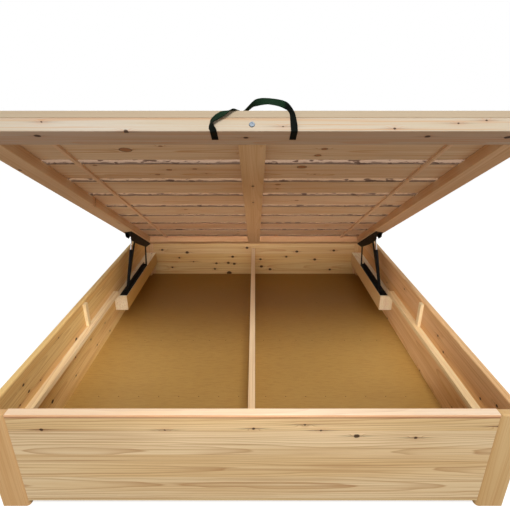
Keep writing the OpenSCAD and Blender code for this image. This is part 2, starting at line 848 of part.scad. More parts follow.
color(pine_light) at_front() end_board();  // front_board
color(pine_light) at_front() end_cap();  // front_cap
color(pine_light) at_rear() end_board();  // rear_board
color(pine_light) at_rear() end_cap();  // rear_cap
side_board(left);  // side_board_left
side_board(right);  // side_board_right
at_front() post(left);  // front_post_left
at_front() post(right);  // front_post_right
at_rear() post(right);  // rear_post_left
at_rear() post(left);  // rear_post_right
ledge(left);  // ledge_left
ledge(right);  // ledge_right
guide_block(left);  // guide_block_left
guide_block(right);  // guide_block_right
mount_timber(left);  // mount_timber_left
mount_timber(right);  // mount_timber_right
corner_battens();
centre_divider();
floor_panel(left);  // floor_panel_left
floor_panel(right);  // floor_panel_right
floor_bearers();
centre_feet();
lower_bracket(left);  // lower_bracket_left
lower_bracket(right);  // lower_bracket_right
lower_pins();
lower_screws();
rear_link(left);  // rear_link_left
rear_link(right);  // rear_link_right
front_link(left);  // front_link_left
front_link(right);  // front_link_right
strut_cylinder(left);  // strut_cylinder_left
strut_cylinder(right);  // strut_cylinder_right
strut_gland(left);  // strut_gland_left
strut_gland(right);  // strut_gland_right
strut_rod(left);  // strut_rod_left
strut_rod(right);  // strut_rod_right
upper_bracket(left);  // upper_bracket_left
upper_bracket(right);  // upper_bracket_right
upper_pins();
upper_screws();
lid_front_rail();
lid_rear_rail();
lid_side_rail(left);  // lid_side_rail_left
lid_side_rail(right);  // lid_side_rail_right
lid_centre_rail();
stringers();
slat(0);  // slat_1
slat(1);  // slat_2
slat(2);  // slat_3
slat(3);  // slat_4
slat(4);  // slat_5
slat(5);  // slat_6
slat(6);  // slat_7
slat(7);  // slat_8
slat(8);  // slat_9
slat(9);  // slat_10
slat_screws();
lid_bolt();
pull_strap();
strap_plates();
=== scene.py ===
# %% [markdown]
# # Lift-up storage bed of pine
# The bed is a low pine box with two bays. A slatted lid carries the mattress, and two black steel
# lifts with gas struts swing it up and forward. The construction comes in as a fixed frame, one
# object for each piece of timber and steel, and this lesson gives every piece its finish and adds
# what only shows close up: webbing, nails, sawn edges, knots and bark.
# We begin by loading the frame.

# %% Load the frame
import math

import bpy
from mathutils import Euler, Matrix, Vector


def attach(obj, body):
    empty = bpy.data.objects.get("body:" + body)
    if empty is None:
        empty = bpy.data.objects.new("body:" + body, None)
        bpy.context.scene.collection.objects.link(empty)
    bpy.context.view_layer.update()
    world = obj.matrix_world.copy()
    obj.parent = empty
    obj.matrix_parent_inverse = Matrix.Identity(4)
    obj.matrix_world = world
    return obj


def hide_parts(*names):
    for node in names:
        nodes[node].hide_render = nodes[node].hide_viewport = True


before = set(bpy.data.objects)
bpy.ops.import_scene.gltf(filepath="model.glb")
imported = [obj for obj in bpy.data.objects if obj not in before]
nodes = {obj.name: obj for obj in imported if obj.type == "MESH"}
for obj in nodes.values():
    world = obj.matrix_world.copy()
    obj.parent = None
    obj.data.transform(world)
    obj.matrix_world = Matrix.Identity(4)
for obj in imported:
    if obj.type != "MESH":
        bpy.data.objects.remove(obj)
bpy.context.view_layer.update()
print("pieces in the frame:", len(nodes))

# %% [markdown]
# The picture is taken from the foot end, a little above the open lid's edge, looking down by 21
# degrees. A lens is written as a focal length on a 36 mm wide sensor, so a focal length that was
# found in picture widths is multiplied by 36.

# %% Camera
SENSOR = 36.0
FOCAL_WIDTHS = 390 / 510
CAMERA_AT = (0.009, -2.077, 1.423)
QUARTER = math.radians(90)
LOOK_DOWN = math.radians(21.1)

bpy.ops.object.select_all(action="DESELECT")
bpy.ops.object.camera_add(location=CAMERA_AT, rotation=(QUARTER - LOOK_DOWN, 0, 0))
camera = bpy.context.object
camera.data.sensor_width = SENSOR
camera.data.lens = FOCAL_WIDTHS * SENSOR
bpy.context.scene.camera = camera
print("lens:", round(camera.data.lens, 2), "mm")

# %% [markdown]
# Colours are written as they are seen on a screen, from 0 to 255, because that is how one reads
# them off a board in daylight. A shader reckons in linear light, so each is turned once, here.


# %% Tones
def tone(red, green, blue):
    """A colour as it is seen on a screen, from 0 to 255, turned to linear light."""
    linear = []
    for value in (red, green, blue):
        share = value / 255
        linear.append(share / 12.92 if share <= 0.04045 else ((share + 0.055) / 1.055) ** 2.4)
    return (*linear, 1.0)


print("a plain tan in linear light:", [round(v, 3) for v in tone(210, 180, 140)])

# %% [markdown]
# A finish is a tree of shader nodes. Written out by hand such a tree is long and hard to follow,
# so two small classes help. A Wire is the output of a node, and sums on it add Math nodes, so
# that `1 - mask` reads like arithmetic.


# %% Wires
class Wire:
    """The output of a node. Arithmetic on it adds Math nodes to its finish."""

    def __init__(self, finish, socket):
        self.finish = finish
        self.socket = socket

    def other(self, output):
        """Another output of the same node."""
        return Wire(self.finish, self.socket.node.outputs[output])

    def maths(self, operation, *others):
        """A Math node whose first value is this wire."""
        return self.finish.maths(operation, self, *others)

    def __add__(self, other):
        return self.maths("ADD", other)

    def __sub__(self, other):
        return self.maths("SUBTRACT", other)

    def __mul__(self, other):
        return self.maths("MULTIPLY", other)

    def __truediv__(self, other):
        return self.maths("DIVIDE", other)

    def __pow__(self, other):
        return self.maths("POWER", other)

    def __radd__(self, other):
        return self.finish.maths("ADD", other, self)

    def __rsub__(self, other):
        return self.finish.maths("SUBTRACT", other, self)

    def __rmul__(self, other):
        return self.finish.maths("MULTIPLY", other, self)

    def __abs__(self):
        return self.maths("ABSOLUTE")

    def step(self, low, high):
        """A soft step from 0 at low to 1 at high; high may be the smaller."""
        sockets = {"Value": self, "From Min": low, "From Max": high}
        return self.finish.node("MapRange", {"interpolation_type": "SMOOTHSTEP"}, sockets)


print("sums that a wire knows: + - * / ** and abs")

# %% [markdown]
# A Finish holds one material and adds any other node: first its settings, then the values or
# wires of its sockets. Colours and vectors have nodes of their own, because a Math node would
# turn a colour grey.


# %% Finishes
class Finish:
    """One material, built from nodes round a Principled shader."""

    def __init__(self, name):
        self.material = bpy.data.materials.new(name)
        self.material.use_nodes = True
        self.tree = self.material.node_tree
        self.shader = self.tree.nodes["Principled BSDF"]

    def plug(self, socket, value):
        """Links a wire to a socket, or sets the socket's own value."""
        if isinstance(value, Wire):
            self.tree.links.new(value.socket, socket)
        else:
            socket.default_value = value

    def node(self, kind, settings=None, sockets=None, output=0):
        """Adds a node, sets its settings and stops, then its sockets, and returns an output."""
        made = self.tree.nodes.new("ShaderNode" + kind)
        for name, value in (settings or {}).items():
            if name == "stops":
                for index, (place, colour) in enumerate(value):
                    stops = made.color_ramp.elements
                    stop = stops[index] if index < len(stops) else stops.new(place)
                    stop.position = place
                    stop.color = colour
            else:
                setattr(made, name, value)
        for name, value in (sockets or {}).items():
            self.plug(made.inputs[name], value)
        return Wire(self, made.outputs[output])

    def maths(self, operation, *values):
        """A Math node on numbers or wires."""
        return self.node("Math", {"operation": operation}, dict(enumerate(values)))

    def mix(self, share, first, second, blend="MIX"):
        """A colour between two, at share from 0 to 1."""
        settings = {"data_type": "RGBA", "blend_type": blend}
        return self.node("Mix", settings, {0: share, 6: first, 7: second}, 2)

    def vector(self, x, y, z):
        """A vector made of three numbers."""
        return self.node("CombineXYZ", None, {"X": x, "Y": y, "Z": z})

    def parts(self, vector):
        """The three numbers of a vector."""
        split = self.node("SeparateXYZ", None, {"Vector": vector})
        return split, split.other("Y"), split.other("Z")

    def shift(self, vector, offset):
        """A vector moved by an offset."""
        return self.node("VectorMath", {"operation": "ADD"}, {0: vector, 1: offset})

    def stretch(self, vector, factors):
        """A vector multiplied by a factor for each of its numbers."""
        return self.node("VectorMath", {"operation": "MULTIPLY"}, {0: vector, 1: factors})

    def noise(self, vector, scale=1.0, detail=2.0, rough=0.5):
        """Noise from 0 to 1 at a scale in waves per metre."""
        sockets = {"Vector": vector, "Scale": scale, "Detail": detail, "Roughness": rough}
        return self.node("TexNoise", {"noise_dimensions": "3D"}, sockets)

    def set(self, **sockets):
        """Plugs the shader's sockets; underscores stand for the spaces in their names."""
        for name, value in sockets.items():
            self.plug(self.shader.inputs[name.replace("_", " ")], value)

    def bump(self, height, strength, distance):
        """Lets a height from 0 to 1 tilt the light; distance is its depth in metres."""
        sockets = {"Height": height, "Strength": strength, "Distance": distance}
        self.set(Normal=self.node("Bump", None, sockets))


print("nodes that a finish can add:", [name for name in vars(Finish) if name[0] != "_"])

# %% [markdown]
# Wood is a solid texture: the tree's growth rings run through the whole board, so a ring that
# leaves the face goes on over the edge and shows again on the end. For that each piece needs
# coordinates in which the grain runs along X, the width along Y and the thickness along Z. A
# Mapping node turns the piece's own coordinates that way. The lid stands open at rest, so its
# timbers are first turned level.

# %% The way the grain runs
LID_ANGLE = math.radians(29.1)
ACROSS_FLAT = (0, 0, 0)
ACROSS_UPRIGHT = (-QUARTER, 0, 0)
ALONG_FLAT = (0, 0, -QUARTER)
ALONG_UPRIGHT = (-QUARTER, -QUARTER, 0)
UPRIGHT = (QUARTER, 0, QUARTER)
LID_ACROSS = (LID_ANGLE, 0, 0)
LID_ALONG = (LID_ANGLE, 0, -QUARTER)


def board_box(node_name, turn):
    """The middle and size of a piece in its own board coordinates."""
    level = Euler(turn).to_matrix()
    points = [level @ corner.co for corner in nodes[node_name].data.vertices]
    low = Vector([min(p[i] for p in points) for i in range(3)])
    high = Vector([max(p[i] for p in points) for i in range(3)])
    return (low + high) / 2, high - low


rail_middle, rail_size = board_box("lid_front_rail", LID_ACROSS)
print("front rail, grain x width x thickness:", [round(v, 3) for v in rail_size])

# %% [markdown]
# Pine has pale early wood that darkens slowly to a narrow reddish band of late wood, then starts
# pale again: one such ring a year. The tones below are those of planed pine in daylight. What
# differs from piece to piece stands in one table of facts, so that a piece only names what makes
# it unlike plain pine.

# %% Facts about pine
PINE_LATE = tone(190, 134, 80)
KNOT_RIM = tone(50, 28, 16)
PLAIN_PINE = {
    "pale": tone(236, 214, 176),  # early wood
    "deep": tone(222, 188, 138),  # the darker streaks in it
    "late": PINE_LATE,            # late wood and fibres
    "contrast": 0.4,              # how much the late wood stands out
    "streak": 0.5,                # how much the streaks stand out
    "tint": 0.3,                  # share of a tint that is drawn for each stave
    "ring": 0.0036,               # width of a year, in metres
    "heart": -0.10,               # height of the tree's heart from the board's middle
    "knot_share": 0.08,           # share of the net's cells that hold a knot
    "knot_size": 0.006,           # radius of the largest of those knots
    "spread": 0.13,               # size of a cell of the net
    "core": KNOT_RIM,             # tone inside a knot
    "line": 0.3,                  # how dark the streak is that runs out of a knot
    "face": 0.0,                  # where the face with the face knots lies, across the board
    "edge": None,                 # tone of edges that differ from the faces
    "edge_from": (0.5, 0.9),      # how far a surface turns sideways to count as an edge
    "flakes": 0.0,                # share of bark that is left on the edges
    "foot": -0.011,               # height of a slat's underside, where more bark is left
    # The next fact is painted shade: a colour that darkens and warms a piece's underside.
    "below": None,                # colour that multiplies the underside
    # The next fact is the height of a painted shadow under a cap's lip, along its joint.
    "cap_painted_shadow": None,            # height at which a cap is glued on
    "rough": 0.55,
    "gloss": 0.15,
    "grain_bump": 0.0004,
}
print("facts about pine:", len(PLAIN_PINE))

# %% [markdown]
# Wide boards are glued from staves, each sawn from another tree. So the pattern restarts at each
# glue joint, moved by a lot that is drawn for the stave, and the joint itself is a thin line.

# %% Staves
JOINT_REACH = 0.0009
LOT_STEP = 7.3
LOT_SHIFT = (5.0, 0.4, 0.2)
SEED_SHIFT = (3.7, 1.9, 0.8)


def cut_staves(y, staves):
    """A stave's number, the distance from its middle line, and a mask of the glue joints."""
    if not staves:
        return 0.0, y, 0.0
    width, first = staves
    strip = (y - first) / width
    number = strip.maths("FLOOR")
    aside = (strip - number - 0.5) * width
    joint = abs(number + 0.5 - strip).step(0.5 - JOINT_REACH / width, 0.5)
    return number, aside, joint


def draw_trunk(wood, board, number, seed):
    """Three lots drawn for a stave, and its place in the trunk that it was sawn from."""
    draw = wood.node("TexWhiteNoise", {"noise_dimensions": "1D"}, {"W": number + seed * LOT_STEP})
    lots = draw.other("Color")
    piece_place = wood.shift(board, tuple(share * seed for share in SEED_SHIFT))
    return wood.parts(lots), wood.shift(piece_place, wood.stretch(lots, LOT_SHIFT))


print("a glue joint shows", round(JOINT_REACH * 1000, 1), "mm to each side")

# %% [markdown]
# A knot is a branch that the tree grew round. It shows as a dark oval with a darker rim, a brown
# halo, and a thin streak along the grain. Small ones lie by chance, one for some of the cells of a
# net. Those that catch the eye are written down one by one. All are masks from 0 to 1, and a
# mask that falls off like a bell is the exponent of minus the distance squared.

# %% Knots
KNOT_SQUASH = 0.6
KNOT_SOLID = 0.7
HALO_FALL = (1600.0, 12000.0)
LINE_FALL = (420.0, 260000.0)
NET_SHIFT = (5.1, 2.3)
NET = {"voronoi_dimensions": "2D", "feature": "F1"}
NET_RANDOM = 0.9
SMALLEST_KNOT = 0.35
SOFT_LOT = 0.002
FACE_DEPTH = (0.012, 0.004)
RAGGED_WAVES = 160.0
RAGGED_REACH = 0.004


def knot_marks(along, across, size, ragged):
    """A knot, its brown halo and the thin streak that runs out of it."""
    along_2, across_2 = along * along, across * across
    far = (along_2 * KNOT_SQUASH + across_2) ** 0.5 + ragged
    halo = along_2 * -HALO_FALL[0] - across_2 * HALO_FALL[1]
    line = along_2 * -LINE_FALL[0] - across_2 * LINE_FALL[1]
    knot = far.step(size, size * KNOT_SOLID)
    return knot, halo.maths("EXPONENT"), line.maths("EXPONENT")


def chance_knots(wood, x, y, seed, facts, ragged):
    """Knots that lie by chance."""
    cell, share = facts["spread"], facts["knot_share"]
    flat = wood.vector(x / cell + seed * NET_SHIFT[0], y / cell + seed * NET_SHIFT[1], 0.0)
    sockets = {"Vector": flat, "Scale": 1.0, "Randomness": NET_RANDOM}
    net = wood.node("TexVoronoi", NET, sockets)
    chance, size_lot, _ = wood.parts(net.other("Color"))
    here = chance.step(share + SOFT_LOT, share - SOFT_LOT)
    centre = net.other("Position")
    off = wood.node("VectorMath", {"operation": "SUBTRACT"}, {0: flat, 1: centre})
    off_x, off_y, _ = wood.parts(off)
    size = (SMALLEST_KNOT + (1 - SMALLEST_KNOT) * size_lot) * facts["knot_size"]
    return [mark * here for mark in knot_marks(off_x * cell, off_y * cell, size, ragged)]


def all_knots(wood, place, trunk, seed, facts, knots, face_knots):
    """The knots of a piece, by chance and from the lists."""
    x, y, z = place
    ragged = (wood.noise(trunk, RAGGED_WAVES) - 0.5) * RAGGED_REACH
    marks = chance_knots(wood, x, y, seed, facts, ragged)
    near_face = (y - facts["face"]).step(*FACE_DEPTH)
    for written_down, beside, share in ((knots, y, 1.0), (face_knots, z, near_face)):
        for along, across, size in written_down:
            one = knot_marks(x - along, beside - across, size, ragged)
            marks = [mark.maths("MAXIMUM", new * share) for mark, new in zip(marks, one)]
    return marks


print("smallest chance knot in plain pine:",
      round(PLAIN_PINE["knot_size"] * SMALLEST_KNOT * 1000, 1), "mm")

# %% [markdown]
# A saw cuts through the tree's cones at a slant, which draws long lines and flames on a board's
# face. The recipe: the distance from the tree's heart, bent by slow noise, divided by the width of
# a ring; its fraction raised to a power gives the narrow dark band. The noise must be far slower
# along the grain than across it, or the rings turn into islands like the lines of a map. The
# scales below are waves per metre along the grain, across it and through the board.

# %% Year rings
BEND = (0.5, 1.6, 1.6)
SWAY = (1.5, 7.0, 7.0)
RIPPLE = (6.0, 40.0, 40.0)
BEND_REACH, SWAY_REACH, RIPPLE_REACH = 0.06, 0.02, 0.0018
LOT_REACH = 0.08
HALO_PUSH = 0.008
LATE_POWER = 4.0
LATE_END = (1.0, 0.94)
YEAR_STEP = 0.31
YEAR_SEED = 1.7
FAINTEST_YEAR, YEAR_LOT = 0.2, 1.5


def year_rings(wood, trunk, aside, z, lots, halo, seed, facts):
    """A mask of the late wood, which the knots push aside."""
    bend = wood.noise(wood.stretch(trunk, BEND), detail=1.0) - 0.5
    sway = wood.noise(wood.stretch(trunk, SWAY)) - 0.5
    ripple = wood.noise(wood.stretch(trunk, RIPPLE), detail=1.0) - 0.5
    depth = z - facts["heart"] + bend * BEND_REACH + (lots[1] - 0.5) * LOT_REACH
    aside = aside + sway * SWAY_REACH + (lots[0] - 0.5) * LOT_REACH
    reach = (depth * depth + aside * aside) ** 0.5 + ripple * RIPPLE_REACH + halo * HALO_PUSH
    rings = reach / facts["ring"]
    phase = rings.maths("FRACT")
    years = wood.noise(wood.vector(rings * YEAR_STEP, seed * YEAR_SEED, 0.0))
    late_wood = (phase ** LATE_POWER) * phase.step(*LATE_END)
    return late_wood * (FAINTEST_YEAR + years * YEAR_LOT)


print("rings in 0.1 m of plain pine:", round(0.1 / PLAIN_PINE["ring"]))

# %% [markdown]
# Between the rings pine is not one tone either. Fibres and fine hairs run along it, streaks of
# resin are longer and wider, and clouds of warmer heartwood drift over the board. Each is a noise
# stretched along the grain, mixed in one after the other.

# %% Streaks, hairs and clouds
FIBRE = (9.0, 420.0, 420.0)
HAIR = (1.0, 130.0, 130.0)
STREAK = (0.8, 24.0, 24.0)
CLOUD = (1.6, 5.0, 5.0)
FINE = {"detail": 3.0, "rough": 0.6}
FIBRE_FROM, FIBRE_SHARE = (0.45, 0.8), 0.16
HAIR_FROM, HAIR_SHARE = (0.50, 0.72), 0.9
STREAK_SHARE = 3.2
CLOUD_SHARE = 1.2
STAVE_TINTS = ((0.0, tone(236, 206, 150)), (0.3, tone(238, 206, 178)),
               (0.6, tone(222, 204, 156)), (0.9, tone(226, 176, 122)))


def grain_tone(wood, trunk, late_wood, fibre, lot, facts):
    """The colour of the wood, without knots and edges."""
    hair = wood.noise(wood.stretch(trunk, HAIR), rough=0.6).step(*HAIR_FROM)
    streak = (wood.noise(wood.stretch(trunk, STREAK), **FINE) - 0.5) * STREAK_SHARE
    cloud = (wood.noise(wood.stretch(trunk, CLOUD)) - 0.5) * CLOUD_SHARE
    body = streak * facts["streak"] + cloud + 0.5
    colour = wood.mix(body.step(0.0, 1.0), facts["pale"], facts["deep"])
    tints = wood.node("ValToRGB", {"stops": STAVE_TINTS}, {"Fac": lot})
    colour = wood.mix(facts["tint"], colour, tints)
    colour = wood.mix(late_wood * facts["contrast"], colour, facts["late"])
    colour = wood.mix(hair * HAIR_SHARE * facts["contrast"], colour, facts["late"])
    return wood.mix(fibre.step(*FIBRE_FROM) * FIBRE_SHARE, colour, facts["late"])


print("tints that a stave may draw:", len(STAVE_TINTS))

# %% [markdown]
# The slats are plain sawn boards on which the tree's own outline was left, so their edges carry
# flakes of bark, most of all at the underside. Some timbers get another tone on the edge or the
# underside than on the face, mostly painted shade for the side that lies out of the light. Where a
# surface looks is read from its normal, turned into the board's directions. Under a cap's lip a
# thin dark line of painted shadow runs along the joint.

# %% Edges, undersides and the painted shadow under a cap
BARK = tone(62, 36, 24)
# The tone of the painted shadow under a cap's lip.
CAP_PAINTED_SHADOW = tone(150, 88, 60)
FLAKES = (20.0, 9.0, 60.0)
FLAKE_REACH = 0.03
BARK_FROM = (0.58, 0.62)
BARK_HEIGHT = (0.009, 0.005)
LOW_BARK = 0.7
EDGE_SHARE = 0.8
LOOKS_DOWN = (-0.5, -0.9)
# Where the painted shadow under a cap's lip lies, and how dark it is.
CAP_PAINTED_SHADOW_HEIGHT, CAP_PAINTED_SHADOW_SHARE = (-0.008, -0.005), 0.7


def edge_tone(wood, colour, edgewise, trunk, z, facts):
    """The tone of a piece's edges, with the bark that is left on them."""
    side = abs(edgewise).step(*facts["edge_from"])
    colour = wood.mix(side * EDGE_SHARE, colour, facts["edge"])
    if not facts["flakes"]:
        return colour
    flakes = wood.noise(wood.stretch(trunk, FLAKES), detail=3.0)
    low, high = (facts["foot"] + height for height in BARK_HEIGHT)
    lower = (z + (flakes - 0.5) * FLAKE_REACH).step(low, high)
    bark = flakes.step(*BARK_FROM).maths("MAXIMUM", lower * LOW_BARK)
    return wood.mix(bark * side * facts["flakes"], colour, BARK)


def side_tones(wood, colour, own, turn, trunk, place, facts):
    """The tones that depend on where a surface looks, and the painted shadow under a cap."""
    _, y, z = place
    if facts["edge"] or facts["below"]:
        looks = {"Vector": own.other("Normal"), "Rotation": turn}
        facing = wood.node("Mapping", {"vector_type": "NORMAL"}, looks)
        _, edgewise, upward = wood.parts(facing)
    if facts["edge"]:
        colour = edge_tone(wood, colour, edgewise, trunk, z, facts)
    # Painted shade: the underside is multiplied by a darker, warmer colour.
    if facts["below"]:
        tinted = wood.mix(1.0, colour, facts["below"], "MULTIPLY")
        colour = wood.mix(upward.step(*LOOKS_DOWN), colour, tinted)
    # Painted shadow: a thin dark band under the cap's lip, along the joint.
    if facts["cap_painted_shadow"]:
        low, high = (facts["cap_painted_shadow"] + height for height in CAP_PAINTED_SHADOW_HEIGHT)
        colour = wood.mix(y.step(low, high) * CAP_PAINTED_SHADOW_SHARE, colour, CAP_PAINTED_SHADOW)
    return colour


print("bark is left from", BARK_FROM[0], "of the flakes' noise on")

# %% [markdown]
# Last the knots are laid over the wood: first the halo, then the streak, then the knot with its
# rim, which is where the knot's own mask is half way between 0 and 1.

# %% Pine
PINE_RED = tone(186, 112, 66)
HALO_SHARE, CORE_SHARE, RIM_SHARE, JOINT_SHARE = 0.22, 0.9, 0.6, 0.35
FIBRE_HEIGHT, LATE_HEIGHT, KNOT_DEPTH = 0.6, 0.4, 0.4
FIBRE_ROUGH = 0.2
GRAIN_STRENGTH = 0.6


def knot_tones(wood, colour, marks, facts):
    """The wood's colour with its knots laid over it."""
    knot, halo, line = marks
    colour = wood.mix(halo * HALO_SHARE, colour, PINE_RED)
    colour = wood.mix(line * facts["line"], colour, KNOT_RIM)
    rim = knot * (1.0 - knot) * 4.0
    core = wood.mix(rim, facts["core"], KNOT_RIM)
    colour = wood.mix(knot * CORE_SHARE, colour, core)
    return wood.mix(rim * RIM_SHARE, colour, KNOT_RIM)


def pine(name, turn, middle, seed, staves=None, knots=(), face_knots=(), look=None):
    """A finish of pine for one piece, whose grain runs as turn says.

    staves is the width of the glued strips and where the first joint lies. knots are places
    along and across the piece with a radius each, all in metres from its middle; face_knots are
    places along and up, for a face that is seen from the side."""
    facts = {**PLAIN_PINE, **(look or {})}
    wood = Finish(name)
    own = wood.node("TexCoord", None, None, "Object")
    level = {"Vector": own, "Rotation": turn, "Location": tuple(-v for v in middle)}
    board = wood.node("Mapping", {"vector_type": "POINT"}, level)
    place = wood.parts(board)
    number, aside, joint = cut_staves(place[1], staves)
    lots, trunk = draw_trunk(wood, board, number, seed)
    marks = all_knots(wood, place, trunk, seed, facts, knots, face_knots)
    late_wood = year_rings(wood, trunk, aside, place[2], lots, marks[1], seed, facts)
    fibre = wood.noise(wood.stretch(trunk, FIBRE), **FINE)
    colour = grain_tone(wood, trunk, late_wood, fibre, lots[2], facts)
    colour = side_tones(wood, colour, own, turn, trunk, place, facts)
    colour = knot_tones(wood, colour, marks, facts)
    if staves:
        colour = wood.mix(joint * JOINT_SHARE, colour, PINE_LATE)
    wood.set(Base_Color=colour, Roughness=facts["rough"] + (fibre - 0.5) * FIBRE_ROUGH,
             Specular_IOR_Level=facts["gloss"])
    height = fibre * FIBRE_HEIGHT + late_wood * LATE_HEIGHT - marks[0] * KNOT_DEPTH
    wood.bump(height, GRAIN_STRENGTH, facts["grain_bump"])
    return wood


def dress(node_name, finish):
    """Gives a piece of the frame a finish."""
    piece = nodes[node_name]
    piece.data.materials.clear()
    piece.data.materials.append(finish.material)


def dress_pine(node_name, turn, seed, **details):
    """Gives a piece of the frame its own finish of pine."""
    middle, _ = board_box(node_name, turn)
    dress(node_name, pine(node_name + "_pine", turn, middle, seed, **details))


print("fineness of the fibres, waves per metre along and across:", FIBRE[:2])

# %% [markdown]
# Now the box. Its boards are glued from wide staves and planed. The knots that show most were
# written down one by one: along the board, across it, and how large.

# %% Knots of the boards
FRONT_KNOTS = ((-0.729, 0.144, 0.006), (-0.303, 0.143, 0.0035), (0.004, 0.149, 0.005),
               (0.237, 0.141, 0.004), (0.363, 0.116, 0.009), (0.569, 0.108, 0.0055),
               (0.180, 0.166, 0.004), (0.846, 0.159, 0.003))
REAR_KNOTS = ((-0.773, 0.049, 0.0095), (-0.564, 0.026, 0.0121), (-0.633, -0.023, 0.0081),
              (-0.181, -0.013, 0.0108), (-0.219, -0.069, 0.0108), (-0.168, -0.078, 0.0108),
              (-0.321, -0.073, 0.0095), (-0.515, -0.058, 0.0054), (-0.699, -0.110, 0.0081),
              (-0.335, -0.125, 0.0095), (-0.213, -0.162, 0.0175), (-0.058, 0.068, 0.0108),
              (0.055, -0.036, 0.0095), (0.064, -0.102, 0.0121), (0.138, -0.128, 0.0108),
              (0.274, -0.013, 0.0095), (0.362, 0.034, 0.0108), (0.673, 0.043, 0.0095),
              (0.517, -0.038, 0.0108), (0.651, -0.131, 0.0095))
LEFT_KNOTS = ((-0.514, 0.170, 0.004), (-0.819, 0.150, 0.006), (-0.797, 0.100, 0.006),
              (-0.710, 0.085, 0.004), (-0.865, 0.090, 0.004), (-0.363, 0.062, 0.009),
              (-0.402, -0.020, 0.005), (-0.209, -0.040, 0.005), (0.002, -0.060, 0.004),
              (0.056, -0.149, 0.006), (-0.145, -0.118, 0.005), (-0.664, -0.070, 0.009),
              (-0.430, -0.111, 0.005))
RIGHT_KNOTS = ((0.043, 0.150, 0.005), (-0.427, 0.125, 0.006), (-0.502, 0.082, 0.006),
               (-0.924, 0.140, 0.006), (0.292, 0.032, 0.004), (-0.313, -0.170, 0.004),
               (-0.663, -0.105, 0.004), (0.246, -0.170, 0.006), (0.235, -0.045, 0.004))
board_knots = (FRONT_KNOTS, REAR_KNOTS, LEFT_KNOTS, RIGHT_KNOTS)
print("knots written down on the boards:", sum(len(knots) for knots in board_knots))

# %% [markdown]
# The foot board faces the light and shows a strong, pale grain, with a thin painted shadow along
# the joint under its cap. The inner faces are yellower, and the side boards are lit and shaded
# copies: the left one painted paler and yellower as light, the right one pinker as shade. The
# shadow's height is measured from the cap itself.

# %% Boards of the box
FRONT_STAVES = (0.110, 0.030)
BOARD_STAVES = (0.078, 0.012)
cap_middle, cap_size = board_box("front_cap", ACROSS_FLAT)
board_middle, _ = board_box("front_board", ACROSS_FLAT)
CAP_FOOT = cap_middle.z - cap_size.z / 2 - board_middle.z
FRONT_LOOK = {"pale": tone(236, 214, 172), "deep": tone(220, 190, 140),
              "late": tone(172, 124, 76), "tint": 0.2, "knot_share": 0.0,
              "cap_painted_shadow": CAP_FOOT, "contrast": 0.7, "line": 0.8}
INNER_LOOK = {"pale": tone(234, 206, 152), "deep": tone(218, 174, 112), "contrast": 0.5,
              "tint": 0.22, "knot_share": 0.03}
REAR_LOOK = {**INNER_LOOK, "pale": tone(226, 198, 138), "deep": tone(208, 166, 100),
             "contrast": 0.7, "line": 0.5}
# The side boards are lit and shaded copies: painted light makes the left one paler and yellower,
# painted shade makes the right one pinker.
LEFT_PAINTED_LIGHT_LOOK = {**INNER_LOOK, "pale": tone(244, 212, 142), "deep": tone(230, 184, 108)}
RIGHT_PAINTED_SHADE_LOOK = {**INNER_LOOK, "pale": tone(240, 202, 150), "deep": tone(224, 172, 114)}
dress_pine("front_board", ACROSS_UPRIGHT, 1.0, staves=FRONT_STAVES, knots=FRONT_KNOTS,
           look=FRONT_LOOK)
dress_pine("rear_board", ACROSS_UPRIGHT, 2.0, staves=BOARD_STAVES, knots=REAR_KNOTS,
           look=REAR_LOOK)
dress_pine("side_board_left", ALONG_UPRIGHT, 3.0, staves=BOARD_STAVES, knots=LEFT_KNOTS,
           look=LEFT_PAINTED_LIGHT_LOOK)
dress_pine("side_board_right", ALONG_UPRIGHT, 4.0, staves=BOARD_STAVES, knots=RIGHT_KNOTS,
           look=RIGHT_PAINTED_SHADE_LOOK)
print("the cap's foot above the middle of the foot board:", round(CAP_FOOT, 4), "m")

# %% [markdown]
# The caps are straight-grained and smoother than the boards, so they catch a sheen, and their
# rounded sides are painted redder and darker as shade. The corner posts are a darker pine, with
# the grain upright.

# %% Caps and posts
# The caps' edge tone is painted shade on their rounded sides.
CAP_LOOK = {"pale": tone(254, 236, 212), "deep": tone(250, 222, 188), "contrast": 0.2,
            "rough": 0.38, "gloss": 0.35, "knot_share": 0.0, "tint": 0.15,
            "edge": tone(214, 156, 108), "edge_from": (0.25, 0.6)}
POST_LOOK = {"pale": tone(222, 186, 136), "deep": tone(204, 160, 104), "knot_share": 0.0}
CAPS = ("front_cap", "rear_cap")
POSTS = ("front_post_left", "front_post_right", "rear_post_left", "rear_post_right")
for number, cap in enumerate(CAPS):
    dress_pine(cap, ACROSS_FLAT, 5.0 + number, look=CAP_LOOK)
for number, post in enumerate(POSTS):
    dress_pine(post, UPRIGHT, 7.0 + number, look=POST_LOOK)
print("caps and posts dressed:", len(CAPS) + len(POSTS))

# %% [markdown]
# Inside, ledges carry the closed lid, blocks centre it, and a thick timber stands under each
# lift. The timbers' sawn ends are lifted almost to white, partly by painted light, and their sides
# are painted darker as shade, the left side deeper than the right; the ends are full of small
# knots.

# %% Timbers of the box
SIDES = ("left", "right")
LEDGE_LOOK = {"pale": tone(250, 234, 192), "deep": tone(242, 216, 166), "knot_share": 0.04,
              "tint": 0.15}
DIVIDER_LOOK = {**LEDGE_LOOK, "pale": tone(254, 236, 204), "deep": tone(248, 218, 176)}
# The timbers' ends are lifted near to white, partly painted light.
TIMBER_LOOK = {"pale": tone(255, 248, 222), "deep": tone(252, 238, 206), "tint": 0.05,
               "knot_share": 0.25, "spread": 0.05, "knot_size": 0.004, "line": 0.0}
